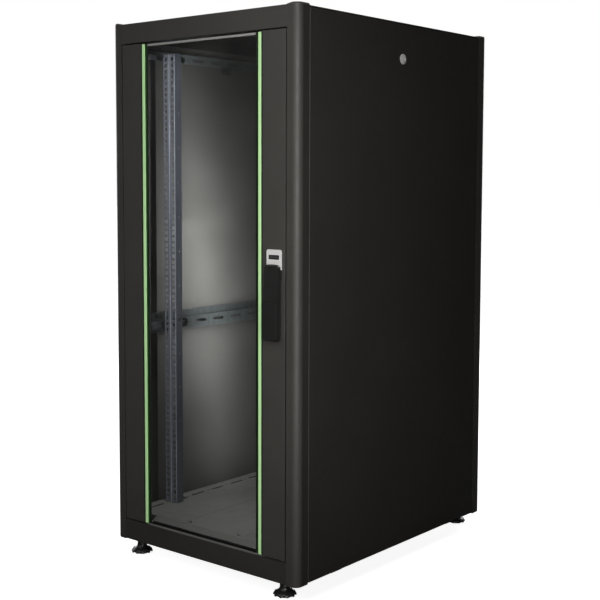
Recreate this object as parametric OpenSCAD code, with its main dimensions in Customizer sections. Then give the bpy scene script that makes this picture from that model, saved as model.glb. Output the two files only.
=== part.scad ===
// Free-standing 19 inch network cabinet with a glass front door.
// Z = 0 is the floor. Inside cabinet() the origin is the middle of the footprint,
// on the underside of the fascias, and Y = -half_d is the front face.
// Most shapes are drawn for the right-hand side and mirrored for the left.

/* [Cabinet] */
// Width over the corner posts
cabinet_w = 600; // [600:10:800]
// Depth over the front and rear fascias
cabinet_d = 800; // [790:5:805]
// Height of the usable rail, in rack units
rack_units = 26; // [24:1:42]
// Height of the levelling feet under the fascias
foot_h = 38; // [34:1:60]
/* [Corner posts] */
// Width of a post seen from the front
post_face_w = 32.5; // [30:0.5:40]
// Depth of a post seen from the side
post_side_d = 40; // [36:1:46]
// Radius of the outer vertical corner
post_corner_r = 17; // [8:1:24]
// How far the top caps crown above the fascias
cap_crown = 4; // [2:0.5:6]
/* [Fascias] */
// Height of the base fascia
fascia_base_h = 50; // [45:1:60]
// Height of the top fascia
fascia_top_h = 48; // [45:1:60]
/* [Doors] */
// Depth of the door stiles
door_t = 22; // [21:0.2:22]
// Gap between the door and the posts
door_gap = 3; // [2.5:0.1:3.5]
// Width of a front door stile
stile_w = 70.5; // [66:0.5:74]
// Width of a trim strip beside the glass
trim_w = 10; // [6:0.5:12]
// Thickness of the glass
glass_t = 5; // [4:1:6]
/* [Front handle] */
// Height of the top edge of the handle plate above the fascia underside
handle_top_z = 760; // [700:1:900]
// Distance of the handle's centre line from the cabinet's centre
handle_x = 233.5; // [230:0.5:234]
// How far the lever stands in front of the door
handle_proud = 18; // [18:0.5:22]
/* [19 inch rails] */
// Set-back of the front rails behind the front fascia
rail_setback = 140; // [138:1:142]
// Width of the rail's front flange
rail_w = 40; // [38:0.5:40]
// Side of a square rail hole
rail_hole = 9.5; // [9:0.1:9.7]
/* [Sheet metal] */
// Frame sheet
sheet_t = 1.5; // [1.2:0.1:1.5]
// Post wall
post_t = 2; // [1.5:0.1:2.5]
// Side panel and rear door sheet
panel_t = 1.2; // [1:0.1:1.5]
/* [Hidden] */
$fn = 48;

// Colours
frame_black = [0.16, 0.16, 0.15];
panel_black = [0.12, 0.11, 0.10];
rail_blue = [0.35, 0.38, 0.45];
zinc = [0.72, 0.73, 0.75];
trim_green = [0.72, 0.90, 0.66];
silver = [0.77, 0.76, 0.75];
rubber_black = [0.07, 0.07, 0.07];

// Overall
u_pitch = 44.45;
frame_allowance = 140.5;
carcass_h = rack_units * u_pitch + frame_allowance;
half_w = cabinet_w / 2;
half_d = cabinet_d / 2;
rear_proud = 6;
shift_y = (handle_proud - rear_proud) / 2;
fit_gap = 0.05;
seam = 0.2;

// Frame
post_x0 = half_w - post_face_w;
arm_x0 = half_w - 46;
arm_x1 = half_w - 17;
arm_v0 = 28;
arm_v1 = 56;
base_beam_d = 60;
top_beam_d = 40;
base_floor_t = 3;
top_z0 = carcass_h - fascia_top_h;
deck_z1 = 66;
deck_x0 = 96;
deck_front_v = 32;
web_x1 = arm_x1;
ledge_y = 250;

// Base
plate_screw_x = 80;
plate_screw_v = 45;
plate_screw_r = 2.5;
entry_y0 = 150;
entry_y1 = 330;
entry_x = 80;
cover_x = 88;
cover_y0 = 82;
cover_y1 = 268;

// Slots along the depth
deck_slot_x = 252;
deck_slot_pitch = 76.5;
deck_slot_l = 50;
slot_w = 8;
side_slot_l = 41;
side_slot_pitch = 69.5;
side_slot_y0 = -46.5;
crossmember_z0 = 516;
crossmember_h = 52;
upper_bar_z0 = carcass_h - 77;
upper_bar_h = 22;
hat_x0 = half_w - 25;
hat_step = 34;
window_y = 267;
window_l = 28;
tab_bolt_dz = 17;
crossmember_slot_dz = 18.5;
bolt_r = 3;
hex_r = 5.8;
bolt_head_h = 4;
tab_bolt_x = half_w - 35;

// Rails
rail_hole_x = 232.55;
rail_hole_x2 = 257;
rail_inner_x = 225;
rail_t = 2;
rail_side_d = 24;
rail_z0 = 67;
rail_z1 = carcass_h - 62;
rail_y = half_d - rail_setback;
front_bolt_y = side_slot_y0 - 2 * side_slot_pitch;
rear_bolt_y = side_slot_y0 + 4 * side_slot_pitch;
slip = 0.4;

// Feet
foot_x = 240;
foot_v = 30;
foot_r = 27.5;
stem_r = 8;
stem_top = 40;
foot_nut_h = 13;
plinth_x = 200;
plinth_r = 6.5;

// Doors
door_z0 = fascia_base_h + 4;
door_z1 = top_z0 - 3.5;
door_x1 = post_x0 - door_gap;
stile_x0 = door_x1 - stile_w;
glass_v = 6;
glass_x = stile_x0 + 3.5;
channel_x = stile_x0 + 4;
hinge_x = door_x1 - 5;
hinge_v = 4.5;
plug_h = 12;
pin_r = 2.5;
pin_end = 13;
collar_r = 4;
bearing_h = 12;

// Handle
hub_z = handle_top_z - 50;
hub_r = 17;
hub_shaft_r = 8;
spindle = 9;
plate_t = 3;
lever_back = 3.5;
lever_w = 41.5;
lever_z0 = handle_top_z - 204;
lever_z1 = handle_top_z - 33;
lever_pin_r = 1.5;
lever_pin_z = lever_z1 - 4;
lever_pin_v = -lever_back - 4;
lever_seat = 15.2;
lever_step_z = lever_z1 - 85;
ear_w = 14;
core_r = 8.5;
core_z = lever_z0 + 46;
rivet_r = 2.5;
rivet_z = lever_step_z - 7;
badge_x = 15.5;
badge_z0 = handle_top_z - 22;
badge_z1 = handle_top_z - 12;
tongue_v = door_t + 1.2;
tongue_t = 3;
tongue_l = 45;
strike_t = 1.5;
strike_v = 6;
strike_below = 50;
strike_above = 60;
strike_margin = 10;
strike_hole_r = 2.2;
strike_hole_v = 14;
seal_t = 4;
seal_w = 10;
seal_inset = 6;
seal_gap_below = 14;
seal_gap_above = 48;

// Rear door
hat_d = 13;
vent_l = 96;
vent_w = 6;
vent_pitch_x = 140;
vent_pitch_z = 15;
vent_rows = 10;
vent_margin = 90;

// Side panels and locks
side_panel_z0 = 1.3;
side_panel_z1 = carcass_h - 4;
side_panel_v = post_side_d + 2.5;
side_lip_d = 15;
side_lock_z = carcass_h - 87.5;
lock_dome_r = 12.5;
lock_proud = 3.5;
dome_curve = 34;
lock_barrel_r = 9;
lock_core_r = 6;

// Roof
roof_z0 = carcass_h - sheet_t;
fan_x = 110;
fan_y = -40;
fan_r = 56;
fan_hole = 52.5;
fan_hole_r = 2.25;
brush_y = 260;
brush_l = 276;
brush_w = 56;
bristle_gap = 6;

// ---------- helpers ----------

module cabinet() {
    translate([0, shift_y, foot_h]) children();
}

// From here, Y is the distance v behind the front face.
module front() {
    cabinet() translate([0, -half_d, 0]) children();
}

// The same seen from the rear: the cabinet turned half a turn.
module rear() {
    cabinet() rotate([0, 0, 180]) translate([0, -half_d, 0]) children();
}

module left() {
    mirror([1, 0, 0]) children();
}

module both_sides() {
    children();
    left() children();
}

module box(x0, y0, z0, x1, y1, z1) {
    translate([x0, y0, z0]) cube([x1 - x0, y1 - y0, z1 - z0]);
}

module rect(x0, y0, x1, y1) {
    translate([x0, y0]) square([x1 - x0, y1 - y0]);
}

module round_rect(x0, y0, x1, y1, r) {
    rect(x0 + r, y0, x1 - r, y1);
    rect(x0, y0 + r, x1, y1 - r);
    for (x = [x0 + r, x1 - r], y = [y0 + r, y1 - r]) translate([x, y]) circle(r);
}

// A slot with round ends, along X or along Y
module slot_x(l, w) {
    rect(-l / 2 + w / 2, -w / 2, l / 2 - w / 2, w / 2);
    for (x = [-1, 1]) translate([x * (l - w) / 2, 0]) circle(w / 2, $fn = 24);
}

module slot_y(l, w) {
    rotate(90) slot_x(l, w);
}

// A section drawn in (Y, Z), run along X
module along_x(x0, x1) {
    translate([x0, 0, 0]) rotate([90, 0, 90]) linear_extrude(x1 - x0) children();
}

// A section drawn in (X, Z), run along Y
module along_y(y0, y1) {
    translate([0, y1, 0]) rotate([90, 0, 0]) linear_extrude(y1 - y0) children();
}

module rod_y(r, x, y0, y1, z) {
    translate([x, y1, z]) rotate([90, 0, 0]) cylinder(r = r, h = y1 - y0);
}

module rod_x(r, x0, x1, y, z) {
    translate([x0, y, z]) rotate([0, 90, 0]) cylinder(r = r, h = x1 - x0);
}

module hex_x(x0, x1, y, z) {
    translate([x0, y, z]) rotate([0, 90, 0]) cylinder(r = hex_r, h = x1 - x0, $fn = 6);
}

module hex_y(x, y0, y1, z) {
    translate([x, y1, z]) rotate([90, 0, 0]) cylinder(r = hex_r, h = y1 - y0, $fn = 6);
}

// ---------- corner posts ----------

module corner_tube_shape(t) {
    x0 = post_x0 + t;
    cx = half_w - post_corner_r;
    rect(x0, t, cx, post_side_d - t);
    rect(x0, post_corner_r, half_w - t, post_side_d - t);
    intersection() {
        rect(cx, t, half_w - t, post_corner_r);
        translate([cx, post_corner_r]) circle(post_corner_r - t, $fn = 64);
    }
}

module arm_shape(t) {
    rect(arm_x0 + t, arm_v0 + t, arm_x1 - t, arm_v1 - t);
}

module latch_slot() {
    box(post_x0 - 1, tongue_v - 1, hub_z - 12, post_x0 + post_t + 1, tongue_v + 4, hub_z + 44);
}

module post(with_latch) {
    color(frame_black) difference() {
        union() {
            linear_extrude(carcass_h) difference() {
                corner_tube_shape(0);
                corner_tube_shape(post_t);
            }
            translate([0, 0, fascia_base_h]) linear_extrude(top_z0 - fascia_base_h) difference() {
                arm_shape(0);
                arm_shape(post_t);
                corner_tube_shape(0);
            }
        }
        if (with_latch) latch_slot();
        for (z = [crossmember_z0 + tab_bolt_dz, upper_bar_z0 + upper_bar_h / 2])
            rod_y(bolt_r, tab_bolt_x, arm_v1 - post_t - 1, arm_v1 + 1, z);
    }
}

module post_front_right() {
    front() post(true);
}

module post_front_left() {
    front() left() post(false);
}

module post_rear_left() {
    rear() post(true);
}

module post_rear_right() {
    rear() left() post(false);
}

module top_cap() {
    edge = 0.8;
    inset = 1.5;
    hull() {
        translate([0, 0, carcass_h]) linear_extrude(edge) corner_tube_shape(0);
        translate([0, 0, carcass_h + cap_crown - 0.2]) linear_extrude(0.2) intersection() {
            corner_tube_shape(inset);
            rect(post_x0 + 14, 0, half_w, post_side_d);
        }
    }
}

module base_cap() {
    translate([0, 0, -2]) linear_extrude(2) corner_tube_shape(0.5);
}

module post_caps() {
    color(frame_black) {
        front() both_sides() {
            top_cap($fn = 32);
            base_cap();
        }
        rear() both_sides() {
            top_cap($fn = 32);
            base_cap();
        }
    }
}

// ---------- fascia beams ----------

module top_beam() {
    color(frame_black) difference() {
        along_x(-post_x0 + seam, post_x0 - seam) difference() {
            rect(0, top_z0, top_beam_d, carcass_h);
            rect(sheet_t, top_z0 + sheet_t, top_beam_d - sheet_t, carcass_h - sheet_t);
        }
        translate([-hinge_x, hinge_v, top_z0 - 1]) cylinder(r = pin_r + slip, h = 4);
    }
}

module base_beam() {
    color(frame_black) difference() {
        along_x(-post_x0 + seam, post_x0 - seam) difference() {
            rect(0, 0, base_beam_d, fascia_base_h);
            rect(sheet_t, base_floor_t, base_beam_d - sheet_t, fascia_base_h - sheet_t);
        }
        translate([-hinge_x, hinge_v, fascia_base_h - 3]) cylinder(r = pin_r + slip, h = 4);
        for (x = [-foot_x, foot_x]) translate([x, foot_v, -1]) cylinder(r = stem_r + 0.5, h = 5);
        for (x = [-plinth_x, plinth_x]) translate([x, foot_v, -1]) cylinder(r = plinth_r, h = 5);
        for (x = [-plate_screw_x, plate_screw_x])
            translate([x, plate_screw_v, fascia_base_h - 3]) cylinder(r = plate_screw_r, h = 4);
    }
}

module fascia_front_top() {
    front() top_beam();
}

module fascia_front_base() {
    front() base_beam();
}

module fascia_rear_top() {
    rear() top_beam();
}

module fascia_rear_base() {
    rear() base_beam();
}

// ---------- base ----------

module deck() {
    y1 = half_d - deck_front_v;
    y2 = half_d - base_beam_d - 0.5;
    z0 = deck_z1 - sheet_t;
    color(frame_black) {
        translate([0, 0, z0]) linear_extrude(sheet_t) difference() {
            union() {
                rect(deck_x0, -y1, arm_x0 - 0.5, y1);
                rect(deck_x0, -y2, web_x1, y2);
            }
            for (k = [-4:4]) translate([deck_slot_x, k * deck_slot_pitch]) slot_y(deck_slot_l, slot_w);
            for (k = [-4:3])
                translate([deck_slot_x, (k + 0.5) * deck_slot_pitch]) circle(3, $fn = 24);
        }
        box(web_x1 - sheet_t, -y2, 2, web_x1, y2, z0);
        box(deck_x0, -y1, deck_z1 - 10, deck_x0 + sheet_t, y1, z0);
        for (y = [-y1, y1 - sheet_t]) box(deck_x0, y, fascia_base_h, arm_x0 - 0.5, y + sheet_t, z0);
        for (y = [-ledge_y, ledge_y]) {
            box(web_x1 - sheet_t, y - 20, -1, web_x1, y + 20, 2);
            box(web_x1, y - 20, -1, half_w - 3, y + 20, 0.8);
        }
    }
}

module deck_right() {
    cabinet() deck();
}

module deck_left() {
    cabinet() left() deck();
}

module base_plate() {
    y1 = half_d - deck_front_v;
    x1 = deck_x0 - 0.6;
    z0 = deck_z1 - sheet_t;
    guide_x = cover_x + 1;
    color(frame_black) cabinet() {
        translate([0, 0, z0]) linear_extrude(sheet_t) difference() {
            rect(-x1, -y1, x1, y1);
            round_rect(-entry_x, entry_y0, entry_x, entry_y1, 6);
            for (x = [-plate_screw_x, plate_screw_x], s = [-1, 1])
                translate([x, s * (half_d - plate_screw_v)]) circle(plate_screw_r);
        }
        for (y = [-y1, y1 - sheet_t]) box(-x1, y, fascia_base_h, x1, y + sheet_t, z0);
        both_sides() {
            box(x1 - sheet_t, -y1, deck_z1 - 10, x1, y1, z0);
            box(guide_x, cover_y0 - 6, deck_z1, guide_x + 1.5, entry_y1 + 6, deck_z1 + 4);
            box(guide_x - 5, cover_y0 - 6, deck_z1 + 2.6, guide_x, entry_y1 + 6, deck_z1 + 4);
        }
    }
}

module base_cover() {
    color(frame_black) cabinet() {
        box(-cover_x, cover_y0, deck_z1 + slip, cover_x, cover_y1, deck_z1 + slip + sheet_t);
        box(-30, cover_y1 - sheet_t, deck_z1 + slip + sheet_t, 30, cover_y1, deck_z1 + 14);
    }
}

module foot_nuts() {
    color(zinc) for (turn = [0, 180])
        cabinet() rotate([0, 0, turn]) translate([0, -half_d, 0]) for (x = [-foot_x, foot_x])
            translate([x, foot_v, base_floor_t]) difference() {
                cylinder(r = 14, h = foot_nut_h, $fn = 6);
                translate([0, 0, -1]) cylinder(r = stem_r + fit_gap, h = foot_nut_h + 2);
            }
}

// A foot with its round plate, collar and threaded stem
module foot() {
    color(rubber_black) translate([0, 0, -foot_h]) rotate_extrude() polygon([
        [0, 0], [foot_r - 1.5, 0], [foot_r, 2], [foot_r, 5.5], [foot_r - 3, 8.5],
        [15, 11], [12.5, 19], [stem_r, 20.5], [stem_r, foot_h + stem_top - 1.5],
        [stem_r - 1.5, foot_h + stem_top], [0, foot_h + stem_top]
    ]);
}

module foot_front_left() {
    front() translate([-foot_x, foot_v, 0]) foot();
}

module foot_front_right() {
    front() translate([foot_x, foot_v, 0]) foot();
}

module foot_rear_left() {
    rear() translate([foot_x, foot_v, 0]) foot();
}

module foot_rear_right() {
    rear() translate([-foot_x, foot_v, 0]) foot();
}

module earth_stud() {
    color(zinc) cabinet() translate([150, 300, deck_z1]) {
        cylinder(r = hex_r, h = 5, $fn = 6);
        cylinder(r = 3, h = 18);
        translate([0, 0, 5]) cylinder(r = 7, h = 1.2);
        translate([0, 0, 6.2]) cylinder(r = hex_r, h = 5, $fn = 6);
    }
}

// ---------- roof ----------

module roof_rail() {
    y1 = half_d - top_beam_d - seam;
    z0 = top_z0;
    color(frame_black) {
        translate([0, 0, z0]) linear_extrude(sheet_t) difference() {
            rect(200, -y1, web_x1, y1);
            for (k = [-4:4]) translate([deck_slot_x, k * deck_slot_pitch]) slot_y(deck_slot_l, slot_w);
        }
        box(web_x1 - sheet_t, -y1, z0 + sheet_t, web_x1, y1, roof_z0 - sheet_t);
        box(web_x1 - 21, -y1, roof_z0 - sheet_t, web_x1, y1, roof_z0);
        box(200, -y1, z0 + sheet_t, 200 + sheet_t, y1, z0 + 12);
    }
}

module roof_rails() {
    cabinet() both_sides() roof_rail();
}

// Finger guard: slots cut across a round fan position
module fan_slots() {
    pitch = 9;
    for (k = [-5:5]) {
        half_l = sqrt(fan_r * fan_r - k * k * pitch * pitch) - 2;
        for (s = [-1, 1]) translate([s * (half_l + 5) / 2, k * pitch]) slot_x(half_l - 5, 5.5);
    }
    for (x = [-fan_hole, fan_hole], y = [-fan_hole, fan_hole])
        translate([x, y]) circle(fan_hole_r);
}

module roof_panel() {
    y1 = half_d - top_beam_d - seam;
    color(frame_black) cabinet() translate([0, 0, roof_z0]) linear_extrude(sheet_t) difference() {
        rect(-half_w + 1.5, -y1, half_w - 1.5, y1);
        for (x = [-fan_x, fan_x]) translate([x, fan_y]) fan_slots();
        translate([0, brush_y]) rect(-brush_l / 2, -brush_w / 2, brush_l / 2, brush_w / 2);
    }
}

module roof_brush_frame() {
    color(frame_black) cabinet() translate([0, brush_y, carcass_h]) linear_extrude(2) difference() {
        round_rect(-brush_l / 2 - 12, -brush_w / 2 - 12, brush_l / 2 + 12, brush_w / 2 + 12, 6);
        rect(-brush_l / 2 + 3, -brush_w / 2 + 3, brush_l / 2 - 3, brush_w / 2 - 3);
    }
}

module roof_bristles() {
    w = (brush_w - bristle_gap) / 2 - 0.3;
    color(rubber_black) cabinet() for (s = [-1, 1])
        translate([0, brush_y + s * (bristle_gap / 2 + w / 2), carcass_h - 3])
            linear_extrude(3) square([brush_l - 0.6, w], center = true);
}

// ---------- depth members ----------

module side_slots(z) {
    for (k = [-3:5]) translate([side_slot_y0 + k * side_slot_pitch, z]) slot_x(side_slot_l, slot_w);
}

// A stepped channel between the posts at mid height
module crossmember() {
    y1 = half_d - arm_v1;
    z0 = crossmember_z0;
    z1 = z0 + crossmember_h;
    step_z = z0 + hat_step;
    color(rail_blue) difference() {
        union() {
            along_x(hat_x0, hat_x0 + sheet_t) difference() {
                rect(-y1, z0, y1, step_z);
                side_slots(z0 + crossmember_slot_dz);
            }
            along_x(web_x1 - sheet_t, web_x1) difference() {
                rect(-y1, step_z, y1, z1);
                for (y = [-window_y, window_y])
                    rect(y - window_l / 2, step_z + 3, y + window_l / 2, z1 - 3);
            }
            box(hat_x0 + sheet_t, -y1, z0, web_x1, y1, z0 + sheet_t);
            box(hat_x0 + sheet_t, -y1, step_z - sheet_t, web_x1, y1, step_z);
            for (s = [-1, 1]) box(arm_x0 + 2, s * y1 - (s > 0 ? 2 : 0), z0 + 6,
                hat_x0, s * y1 + (s > 0 ? 0 : 2), z0 + 28);
        }
        for (s = [-1, 1]) rod_y(bolt_r, tab_bolt_x, s * y1 - 3, s * y1 + 3, z0 + tab_bolt_dz);
    }
}

module crossmembers() {
    cabinet() both_sides() crossmember();
}

// A slotted bar below the roof, with a flange on top
module upper_bar() {
    y1 = half_d - arm_v1;
    z0 = upper_bar_z0;
    z1 = z0 + upper_bar_h;
    color(rail_blue) difference() {
        union() {
            along_x(web_x1 - sheet_t, web_x1) difference() {
                rect(-y1, z0, y1, z1);
                side_slots(z0 + upper_bar_h / 2);
            }
            box(web_x1 - 17, -y1, z1 - sheet_t, web_x1 - sheet_t, y1, z1);
            for (s = [-1, 1]) box(arm_x0 + 2, s * y1 - (s > 0 ? 2 : 0), z0 + 1,
                web_x1 - sheet_t, s * y1 + (s > 0 ? 0 : 2), z1 - sheet_t);
        }
        for (s = [-1, 1]) rod_y(bolt_r, tab_bolt_x, s * y1 - 3, s * y1 + 3, z0 + upper_bar_h / 2);
    }
}

module upper_bars() {
    cabinet() both_sides() upper_bar();
}

// Hex bolts through the end tabs, and the button screws of the base plate
module frame_bolts() {
    v0 = arm_v1 - 8;
    v1 = arm_v1 + 2;
    color(zinc) for (turn = [0, 180])
        cabinet() rotate([0, 0, turn]) translate([0, -half_d, 0]) {
            both_sides() for (z = [crossmember_z0 + tab_bolt_dz, upper_bar_z0 + upper_bar_h / 2]) {
                rod_y(bolt_r, tab_bolt_x, v0, v1, z);
                hex_y(tab_bolt_x, v1, v1 + bolt_head_h, z);
            }
            for (x = [-plate_screw_x, plate_screw_x]) translate([x, plate_screw_v, 0]) {
                translate([0, 0, fascia_base_h - 4])
                    cylinder(r = plate_screw_r, h = deck_z1 - fascia_base_h + 4);
                translate([0, 0, deck_z1]) cylinder(r = plate_screw_r + 2, h = 2.5);
            }
        }
}

// ---------- 19 inch rails ----------

// Three square holes in each rack unit, 15.875, 15.875 and 12.7 apart
module rail_hole_column(x) {
    z0 = (rail_z0 + rail_z1 - rack_units * u_pitch) / 2;
    for (u = [0:rack_units - 1], k = [0:2])
        translate([x, z0 + u * u_pitch + 6.35 + k * 15.875]) square(rail_hole, center = true);
}

// Drawn for the front right, its front face at Y = 0
module rail() {
    color(rail_blue) {
        along_y(0, rail_t) difference() {
            rect(rail_inner_x, rail_z0, rail_inner_x + rail_w, rail_z1);
            rail_hole_column(rail_hole_x);
            rail_hole_column(rail_hole_x2);
        }
        along_x(rail_inner_x, rail_inner_x + rail_t) difference() {
            rect(rail_t, rail_z0, rail_side_d, rail_z1);
            for (u = [0:2:rack_units - 1])
                translate([rail_side_d - 9, rail_z0 + 40 + u * u_pitch]) circle(3.5, $fn = 24);
        }
    }
}

module rail_front_right() {
    cabinet() translate([0, -rail_y, 0]) rail();
}

module rail_front_left() {
    cabinet() left() translate([0, -rail_y, 0]) rail();
}

module rail_rear_right() {
    cabinet() mirror([0, 1, 0]) translate([0, -rail_y, 0]) rail();
}

module rail_rear_left() {
    cabinet() left() mirror([0, 1, 0]) translate([0, -rail_y, 0]) rail();
}

// An angle from the rail's back face to a slotted member whose inner face is at x1
module side_bracket(x1, z0, z1, bolt_z, bolt_y, member_t) {
    y0 = -rail_y + rail_t;
    leg_x = x1 - slip - 1.6;
    difference() {
        union() {
            box(leg_x, -rail_y - 40, z0, x1 - slip, -rail_y + 90, z1);
            box(rail_inner_x + 15, y0, z0, leg_x, y0 + 2, z1);
        }
        rod_x(bolt_r, leg_x - 1, x1 + 1, bolt_y, bolt_z);
    }
    rod_x(bolt_r, leg_x, x1 + member_t + slip + 5, bolt_y, bolt_z);
    hex_x(leg_x - bolt_head_h, leg_x, bolt_y, bolt_z);
    hex_x(x1 + member_t + slip, x1 + member_t + slip + 4, bolt_y, bolt_z);
}

module deck_bracket(bolt_y) {
    y0 = -rail_y + rail_t;
    x0 = rail_inner_x + 15;
    x1 = rail_inner_x + 37;
    z0 = deck_z1 + slip;
    box(x0, y0, z0, x1, y0 + 2, z0 + 30);
    difference() {
        box(x0, y0 + 2, z0, x1, y0 + 53, z0 + 2);
        translate([deck_slot_x, bolt_y, z0 - 1]) cylinder(r = bolt_r, h = 4);
    }
    translate([deck_slot_x, bolt_y, 0]) {
        translate([0, 0, deck_z1 - 8]) cylinder(r = bolt_r, h = 8 + slip + 2);
        translate([0, 0, z0 + 2]) cylinder(r = hex_r, h = bolt_head_h, $fn = 6);
        translate([0, 0, deck_z1 - sheet_t - slip - 4]) cylinder(r = hex_r, h = 4, $fn = 6);
    }
}

module rail_brackets(bolt_y) {
    deck_bolt_y = -3 * deck_slot_pitch;
    color(zinc) both_sides() {
        deck_bracket(deck_bolt_y);
        side_bracket(hat_x0, crossmember_z0 + 8, crossmember_z0 + 30,
            crossmember_z0 + crossmember_slot_dz, bolt_y, sheet_t);
        side_bracket(web_x1 - sheet_t, upper_bar_z0 + 2, upper_bar_z0 + 15,
            upper_bar_z0 + upper_bar_h / 2, bolt_y, sheet_t);
    }
}

module rail_brackets_front() {
    cabinet() rail_brackets(front_bolt_y);
}

module rail_brackets_rear() {
    cabinet() mirror([0, 1, 0]) rail_brackets(-rear_bolt_y);
}

// ---------- front door ----------

module stile_section() {
    difference() {
        rect(channel_x, 0, door_x1, door_t);
        rect(channel_x + sheet_t, sheet_t, door_x1 - sheet_t, door_t - sheet_t);
    }
    rect(stile_x0 + 0.3, 0, channel_x, sheet_t);
    rect(stile_x0 - 8, glass_v + glass_t + 1.5, channel_x, glass_v + glass_t + 1.5 + sheet_t);
}

module stile() {
    color(frame_black) translate([0, 0, door_z0]) linear_extrude(door_z1 - door_z0) stile_section();
}

module stile_left() {
    front() left() stile();
}

module stile_right() {
    front() difference() {
        stile();
        color(frame_black) rod_y(hub_shaft_r + 0.5, handle_x, -1, door_t + 1, hub_z);
    }
}

// Plugs in the ends of the stiles; the left pair holds the hinge pins
module stile_end_caps() {
    g = sheet_t;
    color(rubber_black) front() difference() {
        both_sides() for (z = [door_z0, door_z1 - plug_h])
            box(channel_x + g, g, z, door_x1 - g, door_t - g, z + plug_h);
        for (z = [door_z0 - 1, door_z1 - plug_h - 1])
            translate([-hinge_x, hinge_v, z]) cylinder(r = pin_r, h = plug_h + 2);
    }
}

module door_glass() {
    z0 = door_z0 + 0.5;
    z1 = door_z1 - 1.5;
    color([0.7, 0.75, 0.75, 0.3]) front()
        box(-glass_x, glass_v, z0, glass_x, glass_v + glass_t, z1);
}

module trim_strips() {
    z0 = door_z0 + 0.5;
    z1 = door_z1 - 1.5;
    color(trim_green) front() both_sides()
        box(stile_x0 - trim_w, 0, z0, stile_x0, glass_v, z1);
}

// Clear-anodised profiles that cap the top and bottom edges of the glass
module glass_edge_profiles() {
    x1 = stile_x0 - trim_w;
    h = 5;
    color(silver) front() for (z = [door_z0 + 0.5, door_z1 - 1.5 - h]) {
        box(-x1, glass_v - 0.8, z, x1, glass_v, z + h);
        box(-x1 + 9, glass_v + glass_t, z, x1 - 9, glass_v + glass_t + 0.8, z + h);
    }
}

module glass_gaskets() {
    v = glass_v + glass_t;
    color(rubber_black) front() both_sides()
        box(stile_x0 - 7.5, v, door_z0 + 0.5, glass_x, v + 1.5, door_z1 - 1.5);
}

// A pin at the foot and one at the head of a door, the lower one with a collar
module pin_pair(grip) {
    translate([-hinge_x, hinge_v, 0]) {
        translate([0, 0, fascia_base_h - pin_end])
            cylinder(r = pin_r, h = door_z0 + grip - fascia_base_h + pin_end);
        translate([0, 0, fascia_base_h + 0.3]) cylinder(r = collar_r, h = door_z0 - fascia_base_h - 0.3);
        translate([0, 0, door_z1 - grip]) cylinder(r = pin_r, h = top_z0 + pin_end - door_z1 + grip);
    }
}

module front_hinge_pins() {
    color(zinc) front() pin_pair(plug_h);
}

// Nylon blocks inside the fascias, in which the pins turn
module bearing_pair() {
    h = bearing_h;
    difference() {
        for (z = [fascia_base_h - sheet_t - h, top_z0 + sheet_t])
            box(-post_x0 + 1.5, sheet_t, z, -hinge_x + 8, 14, z + h);
        for (z = [fascia_base_h - sheet_t - h - 1, top_z0 + sheet_t - 1])
            translate([-hinge_x, hinge_v, z]) cylinder(r = pin_r + fit_gap, h = h + 2);
    }
}

module hinge_bearings() {
    color(rubber_black) {
        front() bearing_pair();
        rear() bearing_pair();
    }
}

// Plates that the latch tongues bear on, screwed to the posts on the latch side
module strike_plate() {
    difference() {
        box(post_x0 - strike_t, strike_v, hub_z - strike_below, post_x0, tongue_v - 1, hub_z + strike_above);
        for (z = [hub_z - strike_below + strike_margin, hub_z + strike_above - strike_margin])
            rod_x(strike_hole_r, post_x0 - strike_t - 0.5, post_x0 + 1, strike_hole_v, z);
    }
}

module strike_plates() {
    color(zinc) {
        front() strike_plate();
        rear() strike_plate();
    }
}

module door_seal(z0, z1) {
    box(arm_x0 + 2, arm_v0 - seal_t, z0, arm_x0 + 2 + seal_w, arm_v0, z1);
}

// Foam strips on the posts, interrupted where a tongue sweeps
module seal_set() {
    z0 = door_z0 + seal_inset;
    z1 = door_z1 - seal_inset;
    left() door_seal(z0, z1);
    door_seal(z0, hub_z - seal_gap_below);
    door_seal(hub_z + seal_gap_above, z1);
}

module door_seals() {
    color(rubber_black) {
        front() seal_set();
        rear() seal_set();
    }
}

// ---------- front handle ----------

module handle_plate() {
    low_w = 19;
    top_w = 21.5;
    color(silver) front() difference() {
        along_y(-plate_t, 0) {
            round_rect(handle_x - top_w, hub_z - 20, handle_x + top_w, handle_top_z, 5);
            round_rect(handle_x - low_w, lever_z0 + 8, handle_x + low_w, hub_z, 5);
        }
        rod_y(hub_r + fit_gap, handle_x, -plate_t - 1, 1, hub_z);
        box(handle_x - badge_x, -plate_t - 1, badge_z0, handle_x + badge_x, -plate_t + 0.8, badge_z1);
    }
}

module handle_badge() {
    color(rubber_black) front() box(handle_x - badge_x + 0.1, -plate_t + 0.2, badge_z0 + 0.1,
        handle_x + badge_x - 0.1, -plate_t + 0.8, badge_z1 - 0.1);
}

module handle_hub() {
    color(rubber_black) front() difference() {
        union() {
            rod_y(hub_r, handle_x, -plate_t - 0.2, -0.3, hub_z);
            rod_y(hub_shaft_r, handle_x, -0.3, tongue_v - 0.2, hub_z);
            box(handle_x - spindle / 2, tongue_v - 0.2, hub_z - spindle / 2,
                handle_x + spindle / 2, tongue_v + 7, hub_z + spindle / 2);
            along_x(handle_x - ear_w / 2, handle_x + ear_w / 2) {
                rect(lever_pin_v, lever_pin_z - 4, -plate_t - 0.2, lever_pin_z + 4);
                translate([lever_pin_v, lever_pin_z]) circle(4);
            }
        }
        rod_x(lever_pin_r + fit_gap, handle_x - ear_w, handle_x + ear_w, lever_pin_v, lever_pin_z);
    }
}

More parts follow.
